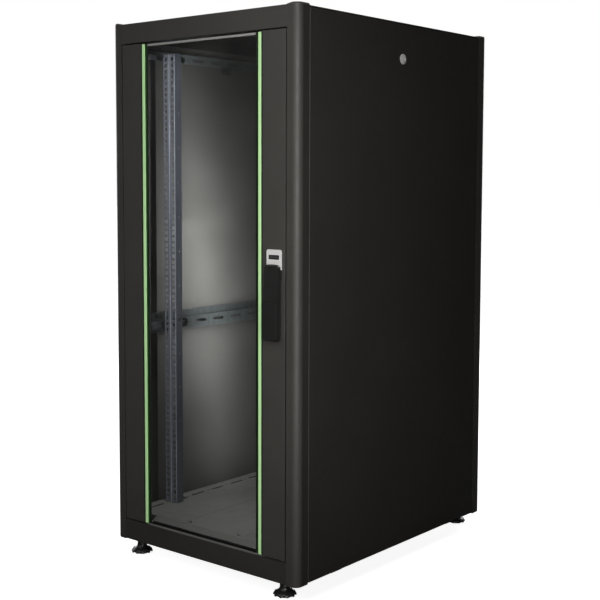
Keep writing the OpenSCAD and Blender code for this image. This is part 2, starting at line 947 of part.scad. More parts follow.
// A cam arm that points up at rest, with a boss on the spindle
module tongue_at(x, v, arm_l, arm_w, t) {
    along_y(v, v + t) {
        translate([x, hub_z]) circle(arm_w / 2 + 4);
        rect(x - arm_w / 2, hub_z, x + arm_w / 2, hub_z + arm_l - arm_w / 2);
        translate([x, hub_z + arm_l - arm_w / 2]) circle(arm_w / 2);
    }
    rod_y(9, x, v + t, v + t + 3.5, hub_z);
}

module latch_tongue() {
    color(zinc) front() difference() {
        tongue_at(handle_x, tongue_v, tongue_l, 16, tongue_t);
        box(handle_x - spindle / 2, tongue_v - 1, hub_z - spindle / 2,
            handle_x + spindle / 2, tongue_v + 9, hub_z + spindle / 2);
    }
}

module lever_side_shape() {
    polygon([
        [-lever_back, lever_z0], [-lever_back, lever_pin_z], [lever_pin_v - 4, lever_pin_z],
        [-lever_seat, lever_step_z], [-lever_seat, lever_z0]
    ]);
    translate([lever_pin_v, lever_pin_z]) circle(4);
}

module lever_front_shape() {
    x0 = handle_x - lever_w / 2;
    x1 = handle_x + lever_w / 2;
    round_rect(x0, lever_z0 + 30, x1, lever_z1, 11);
    round_rect(x0, lever_z0, x1, lever_z0 + 60, 4);
}

module lever() {
    slot_x = ear_w / 2 + 0.4;
    color(rubber_black) front() difference() {
        intersection() {
            along_x(handle_x - lever_w, handle_x + lever_w) lever_side_shape();
            along_y(-25, 0) lever_front_shape();
        }
        box(handle_x - slot_x, -25, lever_pin_z - 4.5, handle_x + slot_x, 0, lever_z1 + 1);
        rod_x(lever_pin_r, handle_x - lever_w, handle_x + lever_w, lever_pin_v, lever_pin_z);
        rod_y(core_r + fit_gap, handle_x, -25, -5, core_z);
        rod_y(rivet_r + fit_gap, handle_x, -25, -9, rivet_z);
    }
}

module lever_pin() {
    l = lever_w / 2 - 1.5;
    color(zinc) front()
        rod_x(lever_pin_r, handle_x - l, handle_x + l, lever_pin_v, lever_pin_z);
}

module lock_core() {
    color(zinc) front() difference() {
        rod_y(core_r, handle_x, -lever_seat, -5.3, core_z);
        box(handle_x - 0.9, -lever_seat - 1, core_z - 4, handle_x + 0.9, -lever_seat + 5, core_z + 4);
    }
}

module lock_cover() {
    v1 = -lever_seat - 0.3;
    x = lever_w / 2 - 0.7;
    color(rubber_black) front() {
        along_y(-handle_proud, v1)
            round_rect(handle_x - x, lever_z0 + 2, handle_x + x, lever_step_z - 1, 4);
        rod_y(rivet_r, handle_x, v1, -9.4, rivet_z);
    }
}

// ---------- rear door ----------

module vent_field(z0) {
    for (col = [-1:1], row = [0:vent_rows - 1])
        translate([col * vent_pitch_x, z0 + row * vent_pitch_z]) slot_x(vent_l, vent_w);
}

module rear_door_panel() {
    lip = 20;
    t = panel_t;
    x1 = door_x1;
    color(panel_black) rear() difference() {
        union() {
            along_y(0, t) difference() {
                rect(-x1, door_z0, x1, door_z1);
                vent_field(door_z0 + vent_margin);
                vent_field(door_z1 - vent_margin - (vent_rows - 1) * vent_pitch_z);
            }
            both_sides() box(x1 - t, t, door_z0, x1, lip, door_z1);
            for (z = [door_z0, door_z1 - t]) box(-x1 + t, t, z, x1 - t, lip, z + t);
        }
        rod_y(lock_barrel_r, handle_x, -1, t + 1, hub_z);
        for (z = [door_z0 - 1, door_z1 - t - 1])
            translate([-hinge_x, hinge_v, z]) cylinder(r = pin_r, h = t + 2);
    }
}

// A hat channel welded behind the sheet, between two columns of vents
module hat(x) {
    t = panel_t;
    z0 = door_z0 + 14;
    z1 = door_z1 - 14;
    translate([x, 0, z0]) linear_extrude(z1 - z0) {
        rect(-12, hat_d, 12, hat_d + t);
        for (s = [0, 1]) mirror([s, 0]) {
            rect(12, t, 20, 2 * t);
            rect(12 - t, t, 12, hat_d);
        }
    }
}

module rear_door_stiffeners() {
    color(frame_black) rear() for (x = [-vent_pitch_x / 2, vent_pitch_x / 2]) hat(x);
}

// Pins welded in blocks behind the rear door's sheet
module rear_hinge_pins() {
    block_h = 20;
    color(zinc) rear() {
        pin_pair(block_h);
        for (z = [door_z0 + panel_t, door_z1 - panel_t - block_h])
            box(-door_x1 + panel_t, panel_t, z, -hinge_x + 8, 11, z + block_h);
    }
}

// The fixed housing of the rear door's lock
module rear_lock_body() {
    color(silver) rear() translate([handle_x, 0, hub_z]) rotate([90, 0, 0]) difference() {
        translate([0, 0, -19]) rotate_extrude() polygon([
            [0, 0], [lock_barrel_r, 0], [lock_barrel_r, 19], [14, 19], [14, 19 + 2],
            [11, 19 + rear_proud], [0, 19 + rear_proud]
        ]);
        translate([0, 0, -20]) cylinder(r = lock_core_r + fit_gap, h = 40);
    }
}

module rear_lock_core() {
    color(zinc) rear() difference() {
        union() {
            rod_y(lock_core_r, handle_x, -rear_proud + 0.5, tongue_v, hub_z);
            tongue_at(handle_x, tongue_v, tongue_l, 16, tongue_t);
        }
        box(handle_x - 0.9, -rear_proud - 1, hub_z - 3.5, handle_x + 0.9, -rear_proud + 4, hub_z + 3.5);
    }
}

// ---------- side panels ----------

module side_panel() {
    t = panel_t;
    y1 = half_d - side_panel_v;
    z0 = side_panel_z0;
    z1 = side_panel_z1;
    x0 = half_w - side_lip_d;
    x1 = half_w - t;
    rib_y = 250;
    color(panel_black) difference() {
        union() {
            box(x1, -y1, z0, half_w, y1, z1);
            for (y = [-y1, y1 - t]) box(x0, y, z0, x1, y + t, z1);
            for (z = [z0, z1 - t]) box(x0, -y1 + t, z, x1, y1 - t, z + t);
            for (y = [-rib_y, rib_y]) {
                box(x1 - 9, y - 15, z0 + 20, x1 - 8, y + 15, z1 - 20);
                for (s = [-1, 1]) box(x1 - 8, y + s * 14.5 - 0.5, z0 + 20, x1, y + s * 14.5 + 0.5, z1 - 20);
            }
        }
        rod_x(lock_barrel_r + fit_gap, x1 - 1, half_w + 1, 0, side_lock_z);
    }
}

module side_panel_right() {
    cabinet() side_panel();
}

module side_panel_left() {
    cabinet() left() side_panel();
}

// A quarter-turn lock: domed head, barrel, and a cam that lies along the panel when unlocked
module side_lock() {
    cam_x = half_w - 23;
    color(silver) difference() {
        union() {
            translate([0, 0, side_lock_z]) rotate([0, 90, 0]) rotate_extrude() difference() {
                intersection() {
                    translate([0, half_w - 22]) square([lock_dome_r, 30]);
                    translate([0, half_w + lock_proud - dome_curve]) circle(dome_curve, $fn = 96);
                }
                translate([lock_barrel_r, half_w - 40]) square([20, 40.3]);
            }
            along_x(cam_x, cam_x + 2.5) {
                translate([0, side_lock_z]) circle(7);
                rect(-25, side_lock_z - 6, 0, side_lock_z + 6);
                rect(0, side_lock_z - 5, 8, side_lock_z + 5);
            }
        }
        box(half_w + 1, -3.5, side_lock_z - 0.7, half_w + 5, 3.5, side_lock_z + 0.7);
    }
}

module side_lock_right() {
    cabinet() side_lock();
}

module side_lock_left() {
    cabinet() left() side_lock();
}

post_front_left();
post_front_right();
post_rear_left();
post_rear_right();
post_caps();
fascia_front_top();
fascia_front_base();
fascia_rear_top();
fascia_rear_base();
deck_left();
deck_right();
base_plate();
base_cover();
roof_panel();
roof_rails();
roof_brush_frame();
roof_bristles();
crossmembers();
upper_bars();
frame_bolts();
foot_nuts();
strike_plates();
hinge_bearings();
door_seals();
earth_stud();
rail_front_left();
rail_front_right();
rail_rear_left();
rail_rear_right();
rail_brackets_front();
rail_brackets_rear();
stile_left();
stile_right();
stile_end_caps();
door_glass();
trim_strips();
glass_edge_profiles();
glass_gaskets();
front_hinge_pins();
handle_plate();
handle_badge();
handle_hub();
latch_tongue();
lever();
lever_pin();
lock_core();
lock_cover();
rear_door_panel();
rear_door_stiffeners();
rear_hinge_pins();
rear_lock_body();
rear_lock_core();
side_panel_left();
side_panel_right();
side_lock_left();
side_lock_right();
foot_front_left();
foot_front_right();
foot_rear_left();
foot_rear_right();
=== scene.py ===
"""Looks for a 19 inch network cabinet with a glass front door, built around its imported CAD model."""

import math
import random

import bpy
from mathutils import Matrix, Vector


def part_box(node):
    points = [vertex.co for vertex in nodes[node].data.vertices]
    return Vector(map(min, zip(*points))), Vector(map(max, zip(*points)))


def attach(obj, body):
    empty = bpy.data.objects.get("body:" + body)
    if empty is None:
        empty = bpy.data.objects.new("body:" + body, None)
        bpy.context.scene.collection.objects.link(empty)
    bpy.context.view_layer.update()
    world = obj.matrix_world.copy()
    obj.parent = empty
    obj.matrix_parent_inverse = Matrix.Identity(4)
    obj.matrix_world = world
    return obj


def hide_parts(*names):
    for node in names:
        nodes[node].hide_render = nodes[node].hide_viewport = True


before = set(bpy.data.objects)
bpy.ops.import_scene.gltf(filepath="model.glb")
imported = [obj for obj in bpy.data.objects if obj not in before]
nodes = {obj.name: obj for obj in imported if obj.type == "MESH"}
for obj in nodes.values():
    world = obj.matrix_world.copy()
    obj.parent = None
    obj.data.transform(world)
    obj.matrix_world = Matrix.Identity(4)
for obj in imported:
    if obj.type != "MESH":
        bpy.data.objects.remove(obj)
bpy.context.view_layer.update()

MM = 0.001
GLOW_WATTS_PER_M = 5.0
rng = random.Random(26)


# ---------------------------------------------------------------- camera, lights and floor

def add_camera():
    """The viewpoint: to the right of the front door, 3 m from the cabinet's middle and 0.3 m above it."""
    data = bpy.data.cameras.new("camera")
    data.lens = 68.19
    data.sensor_width = 36
    data.shift_y = -0.0484
    data.clip_end = 60
    camera = bpy.data.objects.new("camera", data)
    camera.location = (1.8845, -2.3126, 0.9528)
    camera.rotation_euler = (math.radians(85.427), math.radians(-0.164), math.radians(39.44))
    bpy.context.scene.collection.objects.link(camera)
    bpy.context.scene.camera = camera


def aim(lamp, target):
    direction = Vector(target) - lamp.location
    lamp.rotation_euler = direction.to_track_quat("-Z", "Y").to_euler()


def add_area(name, location, target, size, watts, colour=(1, 1, 1), spread=180, in_gloss=True):
    data = bpy.data.lights.new(name, "AREA")
    data.shape = "RECTANGLE"
    data.size, data.size_y = size
    data.energy = watts
    data.color = colour
    data.spread = math.radians(spread)
    lamp = bpy.data.objects.new(name, data)
    lamp.location = location
    bpy.context.scene.collection.objects.link(lamp)
    aim(lamp, target)
    lamp.visible_camera = False
    lamp.visible_glossy = in_gloss
    return lamp


def add_inner_glow():
    """A tall, soft patch of light on the inside of the left panel, brightest at about half its height.
    Three strips of different heights, tilted a little, add up to a gradual falloff. The two shorter ones
    don't light the steel that stands close to them."""
    place, target = (-0.18, -0.08, 0.71), (-0.3, -0.08, 0.71)
    width, tilt = 0.02, math.radians(8.5)
    for label, height, share in (("short", 0.24, 0.5), ("middle", 0.62, 0.35), ("long", 1.1, 0.15)):
        strip = add_area(f"inner_glow_{label}", place, target, (width, height),
                         GLOW_WATTS_PER_M * share * height, (1, 0.995, 0.975), in_gloss=False)
        strip.rotation_euler.rotate_axis("Z", tilt)
        if label != "long":
            light_only(strip, f"lit_by_inner_glow_{label}",
                       ("crossmembers", "upper_bars", "rail_brackets"), others=True)


def add_lights():
    middle = (0, 0, 0.68)
    add_area("key", (-0.45, -3.1, 2.3), (0.1, -0.4, 0.8), (1.5, 1.7), 18, (1, 0.985, 0.96))
    corner = add_area("corner", (0.97, -1.08, 0.95), (0.3, -0.45, 0.8), (0.7, 1.4), 6.6, (1, 0.98, 0.96),
                      spread=90)
    keep_off_the_inside(corner)
    add_area("top", (-0.3, -0.2, 3.4), middle, (1.6, 3.0), 36)
    add_area("rear_fill", (-0.6, 3.2, 1.4), middle, (2.0, 2.0), 40)
    add_area("left_fill", (-3.2, 0.4, 1.3), middle, (2.0, 2.0), 32)
    add_inner_glow()
    inner = add_area("inner_front", (0.10, -0.30, 1.22), (0.06, -0.16, 0.1), (0.34, 0.10), 5.5, spread=110,
                     in_gloss=False)
    light_only(inner, "lit_by_inner_front", ("deck", "base_", "fascia_front_base"))
    rails = add_area("rail_front", (0.38, -0.85, 1.25), (-0.245, -0.25, 0.95), (0.25, 0.3), 25,
                     in_gloss=False)
    light_only(rails, "lit_by_rail_front", ("rail_front", "rail_rear"))


def light_only(lamp, label, starts, others=False):
    """Link a lamp to the nodes whose names start so, or to all others: a studio light with a flag."""
    receivers = bpy.data.collections.new(label)
    for name, piece in nodes.items():
        if name.startswith(starts) != others:
            receivers.objects.link(piece)
    lamp.light_linking.receiver_collection = receivers


def keep_off_the_inside(lamp):
    """Link a lamp to everything but the left panel and the steel inside the cabinet."""
    inside = ("side_panel_left", "rail", "crossmembers", "upper_bars", "deck", "base", "roof_rails",
              "frame_bolts", "foot_nuts", "earth_stud")
    light_only(lamp, "lit_by_corner", inside, others=True)


def add_world():
    """White to the camera, and a weak, slightly graded light to everything else."""
    world = bpy.data.worlds.new("studio")
    bpy.context.scene.world = world
    world.use_nodes = True
    tree = world.node_tree
    tree.nodes.clear()
    out = tree.nodes.new("ShaderNodeOutputWorld")
    mix = tree.nodes.new("ShaderNodeMixShader")
    path = tree.nodes.new("ShaderNodeLightPath")
    seen = tree.nodes.new("ShaderNodeBackground")
    seen.inputs["Color"].default_value = (1, 1, 1, 1)
    lit = tree.nodes.new("ShaderNodeBackground")
    lit.inputs["Strength"].default_value = 0.14
    coords = tree.nodes.new("ShaderNodeTexCoord")
    split = tree.nodes.new("ShaderNodeSeparateXYZ")
    ramp = tree.nodes.new("ShaderNodeValToRGB")
    ramp.color_ramp.elements[0].color = (0.9, 0.9, 0.92, 1)
    ramp.color_ramp.elements[1].color = (0.02, 0.02, 0.02, 1)
    shift = tree.nodes.new("ShaderNodeMath")
    shift.operation = "MULTIPLY_ADD"
    shift.inputs[1].default_value = 0.5
    shift.inputs[2].default_value = 0.5
    tree.links.new(coords.outputs["Generated"], split.inputs[0])
    tree.links.new(split.outputs["X"], shift.inputs[0])
    tree.links.new(shift.outputs[0], ramp.inputs[0])
    tree.links.new(ramp.outputs[0], lit.inputs["Color"])
    tree.links.new(path.outputs["Is Camera Ray"], mix.inputs[0])
    tree.links.new(lit.outputs[0], mix.inputs[1])
    tree.links.new(seen.outputs[0], mix.inputs[2])
    tree.links.new(mix.outputs[0], out.inputs[0])


def add_floor():
    mesh = bpy.data.meshes.new("floor")
    half = 30
    mesh.from_pydata([(-half, -half, 0), (half, -half, 0), (half, half, 0), (-half, half, 0)], [],
                     [(0, 1, 2, 3)])
    floor = bpy.data.objects.new("floor", mesh)
    bpy.context.scene.collection.objects.link(floor)
    material, tree, shader = new_material("floor")
    grain = noise(tree, 3, 4)
    path = tree.nodes.new("ShaderNodeLightPath")
    paint = ramp_between(tree, grain, (0.80, 0.80, 0.80), (0.84, 0.84, 0.84))
    # The floor is pale to the camera and returns little light to the cabinet, like a floor in a large room
    tree.links.new(mix_colour(tree, path.outputs["Is Camera Ray"], (0.10, 0.10, 0.10), paint),
                   shader.inputs["Base Color"])
    shader.inputs["Roughness"].default_value = 0.7
    shader.inputs["Specular IOR Level"].default_value = 0.2
    shader.inputs["Emission Color"].default_value = (1, 1, 1, 1)
    away = tree.nodes.new("ShaderNodeVectorMath")
    away.operation = "LENGTH"
    tree.links.new(coordinates(tree), away.inputs[0])
    glow = tree.nodes.new("ShaderNodeMapRange")
    glow.interpolation_type = "SMOOTHSTEP"
    glow.inputs["From Min"].default_value = 0.6
    glow.inputs["From Max"].default_value = 3.0
    glow.inputs["To Min"].default_value = 0.92
    glow.inputs["To Max"].default_value = 1.1
    tree.links.new(away.outputs["Value"], glow.inputs["Value"])
    seen = tree.nodes.new("ShaderNodeMath")
    seen.operation = "MULTIPLY"
    tree.links.new(glow.outputs["Result"], seen.inputs[0])
    tree.links.new(path.outputs["Is Camera Ray"], seen.inputs[1])
    tree.links.new(seen.outputs[0], shader.inputs["Emission Strength"])
    mesh.materials.append(material)


# ---------------------------------------------------------------- material helpers

def new_material(name):
    material = bpy.data.materials.new(name)
    material.use_nodes = True
    tree = material.node_tree
    return material, tree, tree.nodes["Principled BSDF"]


def coordinates(tree):
    return tree.nodes.new("ShaderNodeTexCoord").outputs["Object"]


def noise(tree, scale, detail, stretch=None):
    """A noise value over the object's own coordinates, in metres."""
    texture = tree.nodes.new("ShaderNodeTexNoise")
    texture.inputs["Scale"].default_value = scale
    texture.inputs["Detail"].default_value = detail
    source = coordinates(tree)
    if stretch:
        mapping = tree.nodes.new("ShaderNodeMapping")
        mapping.inputs["Scale"].default_value = stretch
        tree.links.new(source, mapping.inputs["Vector"])
        source = mapping.outputs["Vector"]
    tree.links.new(source, texture.inputs["Vector"])
    return texture.outputs["Fac"]


def ramp_between(tree, value, low, high, start=0.3, end=0.7):
    ramp = tree.nodes.new("ShaderNodeValToRGB")
    ramp.color_ramp.elements[0].position = start
    ramp.color_ramp.elements[0].color = (*low, 1)
    ramp.color_ramp.elements[1].position = end
    ramp.color_ramp.elements[1].color = (*high, 1)
    tree.links.new(value, ramp.inputs["Fac"])
    return ramp.outputs["Color"]


def spread_value(tree, value, low, high):
    spread = tree.nodes.new("ShaderNodeMapRange")
    spread.inputs["From Min"].default_value = 0.3
    spread.inputs["From Max"].default_value = 0.7
    spread.inputs["To Min"].default_value = low
    spread.inputs["To Max"].default_value = high
    tree.links.new(value, spread.inputs["Value"])
    return spread.outputs["Result"]


def mix_colour(tree, factor, first, second):
    mix = tree.nodes.new("ShaderNodeMix")
    mix.data_type = "RGBA"
    tree.links.new(factor, mix.inputs["Factor"])
    for socket, colour in ((mix.inputs["A"], first), (mix.inputs["B"], second)):
        if isinstance(colour, tuple):
            socket.default_value = (*colour, 1)
        else:
            tree.links.new(colour, socket)
    return mix.outputs["Result"]


def add_bump(tree, shader, height, strength, distance):
    bump = tree.nodes.new("ShaderNodeBump")
    bump.inputs["Strength"].default_value = strength
    bump.inputs["Distance"].default_value = distance
    tree.links.new(height, bump.inputs["Height"])
    if shader.inputs["Normal"].is_linked:
        tree.links.new(shader.inputs["Normal"].links[0].from_socket, bump.inputs["Normal"])
    tree.links.new(bump.outputs["Normal"], shader.inputs["Normal"])


def scaled(colour, factor):
    return tuple(channel * factor for channel in colour)


def mesh_range(name, axis):
    """The lowest and highest coordinate in a node's own mesh, which are also its materials' coordinates."""
    values = [vertex.co["XYZ".index(axis)] for vertex in nodes[name].data.vertices]
    return min(values), max(values)


def along(tree, axis, start, end):
    """0 to 1 along one of the object's own axes, in metres."""
    split = tree.nodes.new("ShaderNodeSeparateXYZ")
    tree.links.new(coordinates(tree), split.inputs[0])
    spread = tree.nodes.new("ShaderNodeMapRange")
    spread.inputs["From Min"].default_value = start
    spread.inputs["From Max"].default_value = end
    tree.links.new(split.outputs[axis], spread.inputs["Value"])
    return spread.outputs["Result"]


# ---------------------------------------------------------------- materials

def powder_coat(name, colour, roughness=0.5, specular=0.5, inside=None, inside_from=None):
    """Fine textured powder coat: an orange peel of about a millimetre, soft mottling and a little dust.
    inside is a second colour, painted light or shade, for the surfaces past inside_from: an axis, and where
    on it the change starts and ends."""
    material, tree, shader = new_material(name)
    mottle = ramp_between(tree, noise(tree, 5, 4), scaled(colour, 0.9), scaled(colour, 1.1))
    speck = noise(tree, 900, 2)
    grain = ramp_between(tree, speck, (0.82, 0.82, 0.82), (1.16, 1.16, 1.16), 0.35, 0.65)
    tone = tree.nodes.new("ShaderNodeMix")
    tone.data_type = "RGBA"
    tone.blend_type = "MULTIPLY"
    tone.inputs["Factor"].default_value = 1
    tree.links.new(mottle, tone.inputs["A"])
    tree.links.new(grain, tone.inputs["B"])
    surface = tone.outputs["Result"]
    # Painted light or shade: past the change the surfaces take the second colour
    if inside:
        inner = ramp_between(tree, noise(tree, 7, 4), scaled(inside, 0.93), scaled(inside, 1.07))
        surface = mix_colour(tree, along(tree, *inside_from), surface, inner)
    tree.links.new(surface, shader.inputs["Base Color"])
    tree.links.new(spread_value(tree, noise(tree, 45, 3), roughness - 0.04, roughness + 0.05),
                   shader.inputs["Roughness"])
    shader.inputs["Specular IOR Level"].default_value = specular
    add_bump(tree, shader, noise(tree, 1300, 2), 0.35, 0.0002)
    add_bump(tree, shader, noise(tree, 14, 2), 0.04, 0.002)
    return material


def coated_steel(name, colour, roughness=0.38, metallic=0.35, flange=None, flange_from=None):
    """Dark coat over rolled steel, with faint draw lines along its length.
    flange is a second, darker colour for the surfaces past flange_from: painted shade on the rails' flanges."""
    material, tree, shader = new_material(name)
    lines = noise(tree, 1, 4, stretch=(220, 220, 4))
    surface = ramp_between(tree, lines, scaled(colour, 0.8), scaled(colour, 1.25))
    # Painted shade: the surfaces past flange_from take the darker colour
    if flange:
        surface = mix_colour(tree, along(tree, *flange_from), surface, flange)
    tree.links.new(surface, shader.inputs["Base Color"])
    tree.links.new(spread_value(tree, noise(tree, 80, 3), roughness - 0.08, roughness + 0.1),
                   shader.inputs["Roughness"])
    shader.inputs["Metallic"].default_value = metallic
    add_bump(tree, shader, lines, 0.1, 0.0004)
    add_bump(tree, shader, noise(tree, 700, 2), 0.12, 0.0002)
    return material


def zinc_plate(name):
    """Bright zinc: soft crystals a few millimetres across and fine scratches."""
    colour, roughness = (0.62, 0.63, 0.65), 0.32
    material, tree, shader = new_material(name)
    cells = tree.nodes.new("ShaderNodeTexVoronoi")
    cells.inputs["Scale"].default_value = 260
    tree.links.new(coordinates(tree), cells.inputs["Vector"])
    tree.links.new(ramp_between(tree, cells.outputs["Distance"], scaled(colour, 0.8), colour, 0, 0.6),
                   shader.inputs["Base Color"])
    shader.inputs["Metallic"].default_value = 1
    scratches = noise(tree, 1, 3, stretch=(900, 90, 900))
    tree.links.new(spread_value(tree, scratches, roughness - 0.1, roughness + 0.12),
                   shader.inputs["Roughness"])
    add_bump(tree, shader, scratches, 0.08, 0.0002)
    return material


def moulded_plastic(name, colour, roughness=0.4, grain=1100):
    """Black nylon with a fine spark-eroded grain."""
    material, tree, shader = new_material(name)
    tree.links.new(ramp_between(tree, noise(tree, 40, 3), scaled(colour, 0.85), scaled(colour, 1.15)),
                   shader.inputs["Base Color"])
    tree.links.new(spread_value(tree, noise(tree, 160, 2), roughness - 0.05, roughness + 0.07),
                   shader.inputs["Roughness"])
    add_bump(tree, shader, noise(tree, grain, 2), 0.3, 0.0002)
    return material


def rubber(name):
    material, tree, shader = new_material(name)
    tree.links.new(ramp_between(tree, noise(tree, 120, 4), (0.012, 0.012, 0.012), (0.022, 0.022, 0.022)),
                   shader.inputs["Base Color"])
    shader.inputs["Roughness"].default_value = 0.85
    add_bump(tree, shader, noise(tree, 600, 3), 0.5, 0.0006)
    return material


def silver_lacquer(name, colour=(0.74, 0.735, 0.73), roughness=0.36, metallic=0.35, painted_shade_below=None):
    """Silver lacquer with fine metallic flakes, and plain black below a height if one is given: painted
    shade.
    """
    material, tree, shader = new_material(name)
    flakes = noise(tree, 2600, 1)
    surface = ramp_between(tree, flakes, scaled(colour, 0.86), scaled(colour, 1.1))
    # Painted shade: everything below the given height is black
    if painted_shade_below:
        surface = mix_colour(tree, along(tree, "Z", painted_shade_below - 0.0003, painted_shade_below), (0.01, 0.01, 0.01),
                             surface)
    tree.links.new(surface, shader.inputs["Base Color"])
    shader.inputs["Metallic"].default_value = metallic
    tree.links.new(spread_value(tree, noise(tree, 220, 2), roughness - 0.06, roughness + 0.06),
                   shader.inputs["Roughness"])
    add_bump(tree, shader, flakes, 0.08, 0.0001)
    return material


def side_lock(name, outer, inward):
    """A silver dome outside the panel, and a dark steel barrel inside it."""
    material, tree, shader = new_material(name)
    flakes = noise(tree, 2600, 1)
    silver = ramp_between(tree, flakes, (0.66, 0.65, 0.64), (0.80, 0.79, 0.78))
    surface = mix_colour(tree, along(tree, "X", outer + inward * 0.0045, outer + inward * 0.0050), silver,
                         (0.05, 0.05, 0.052))
    tree.links.new(surface, shader.inputs["Base Color"])
    shader.inputs["Metallic"].default_value = 0.45
    tree.links.new(spread_value(tree, noise(tree, 220, 2), 0.26, 0.36), shader.inputs["Roughness"])
    add_bump(tree, shader, flakes, 0.08, 0.0001)
    return material


def satin_chrome(name):
    """Turned and satin-plated, with fine rings left by the tool."""
    material, tree, shader = new_material(name)
    rings = noise(tree, 1, 3, stretch=(200, 1500, 1500))
    tree.links.new(ramp_between(tree, rings, (0.66, 0.66, 0.67), (0.82, 0.82, 0.82)),
                   shader.inputs["Base Color"])
    shader.inputs["Metallic"].default_value = 1
    tree.links.new(spread_value(tree, rings, 0.16, 0.28), shader.inputs["Roughness"])
    return material


def green_strip(name, front):
    """Pale green translucent plastic with a faint drawn streak, bright on top and dark down its flanks. It
    also glows weakly in its own colour, which is painted light.
    """
    material, tree, shader = new_material(name)
    streak = noise(tree, 1, 3, stretch=(600, 600, 3))
    crown = ramp_between(tree, streak, (0.32, 0.53, 0.25), (0.39, 0.60, 0.31))
    colour = mix_colour(tree, along(tree, "Y", front + 0.0004, front + 0.0013), crown, (0.012, 0.05, 0.008))
    tree.links.new(colour, shader.inputs["Base Color"])
    # Painted light: the strip glows weakly in its own colour
    tree.links.new(colour, shader.inputs["Emission Color"])
    shader.inputs["Emission Strength"].default_value = 0.3
    tree.links.new(spread_value(tree, noise(tree, 90, 2), 0.28, 0.4), shader.inputs["Roughness"])
    return material


def dark_green_edge(name):
    """The same strip's flanges, where the green plastic is thin over black."""
    material, tree, shader = new_material(name)
    tree.links.new(ramp_between(tree, noise(tree, 60, 3), (0.008, 0.034, 0.004), (0.013, 0.050, 0.007)),
                   shader.inputs["Base Color"])
    tree.links.new(spread_value(tree, noise(tree, 200, 2), 0.35, 0.5), shader.inputs["Roughness"])
    return material


def clear_glass(name):
    """Tempered glass: it lets light through with a faint grey-green tint, mirrors more at a slant, and
    carries a very thin, uneven film of dust."""
    material, tree, shader = new_material(name)
    tree.nodes.remove(shader)
    out = tree.nodes["Material Output"]
    through = tree.nodes.new("ShaderNodeBsdfTransparent")
    through.inputs["Color"].default_value = (0.92, 0.925, 0.92, 1)
    mirror = tree.nodes.new("ShaderNodeBsdfGlossy")
    mirror.inputs["Roughness"].default_value = 0.03
    mirror.inputs["Color"].default_value = (0.6, 0.62, 0.62, 1)
    film = tree.nodes.new("ShaderNodeBsdfDiffuse")
    film.inputs["Color"].default_value = (0.5, 0.51, 0.5, 1)
    fresnel = tree.nodes.new("ShaderNodeFresnel")
    fresnel.inputs["IOR"].default_value = 1.45
    gloss = tree.nodes.new("ShaderNodeMixShader")
    dusty = tree.nodes.new("ShaderNodeMixShader")
    # Only the face that the light enters mirrors; the far face would otherwise mirror all of it at a slant
    side = tree.nodes.new("ShaderNodeNewGeometry")
    entering = tree.nodes.new("ShaderNodeMath")
    entering.operation = "SUBTRACT"
    entering.inputs[0].default_value = 1
    tree.links.new(side.outputs["Backfacing"], entering.inputs[1])
    amount = tree.nodes.new("ShaderNodeMath")
    amount.operation = "MULTIPLY"
    tree.links.new(fresnel.outputs[0], amount.inputs[0])
    tree.links.new(entering.outputs[0], amount.inputs[1])
    tree.links.new(amount.outputs[0], gloss.inputs[0])
    tree.links.new(through.outputs[0], gloss.inputs[1])
    tree.links.new(mirror.outputs[0], gloss.inputs[2])
    tree.links.new(spread_value(tree, noise(tree, 6, 5), 0.004, 0.02), dusty.inputs[0])
    tree.links.new(gloss.outputs[0], dusty.inputs[1])
    tree.links.new(film.outputs[0], dusty.inputs[2])
    tree.links.new(dusty.outputs[0], out.inputs["Surface"])
    return material


def bristle(name):
    material, tree, shader = new_material(name)
    strands = noise(tree, 1, 3, stretch=(2600, 40, 40))
    tree.links.new(ramp_between(tree, strands, (0.008, 0.008, 0.008), (0.05, 0.05, 0.05)),
                   shader.inputs["Base Color"])
    tree.links.new(spread_value(tree, strands, 0.35, 0.6), shader.inputs["Roughness"])
    return material


